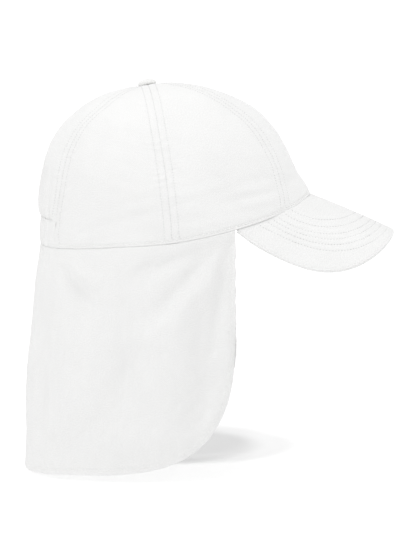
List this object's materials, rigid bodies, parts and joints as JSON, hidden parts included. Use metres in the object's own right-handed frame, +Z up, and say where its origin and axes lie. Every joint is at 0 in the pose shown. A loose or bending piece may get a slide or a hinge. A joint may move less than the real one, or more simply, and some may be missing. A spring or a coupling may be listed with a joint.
{
  "type": "legionnaire cap",
  "caption": "Soft panelled cotton cap with an arched stitched peak, a gathered elastic back band and a long hemmed flap that hangs over the neck and ears.",
  "frame": {"origin": "middle of the head opening, level with the front and back ends of the crown's lower edge", "axes": "+X to the front, where the peak points; +Y to the wearer's left; +Z up, with the cap worn nose up and its flap hanging"},
  "size_m": [0.2821, 0.1776, 0.3002],
  "materials": {
    "crown_cloth": "matte white cotton twill",
    "peak_cloth": "matte white cotton twill over a stiff board, stitched in rows",
    "flap_cloth": "matte white cotton twill, one layer",
    "band_cloth": "matte white cotton, folded double"
  },
  "bodies": {
    "root": {"panel_front": "crown_cloth", "panel_side_front_left": "crown_cloth", "panel_side_front_right": "crown_cloth", "panel_side_back_left": "crown_cloth", "panel_side_back_right": "crown_cloth", "panel_back": "crown_cloth", "back_band": "crown_cloth", "top_button": "crown_cloth", "sweatband": "band_cloth", "peak": "peak_cloth", "neck_flap": "flap_cloth"}
  },
  "joints": []
}
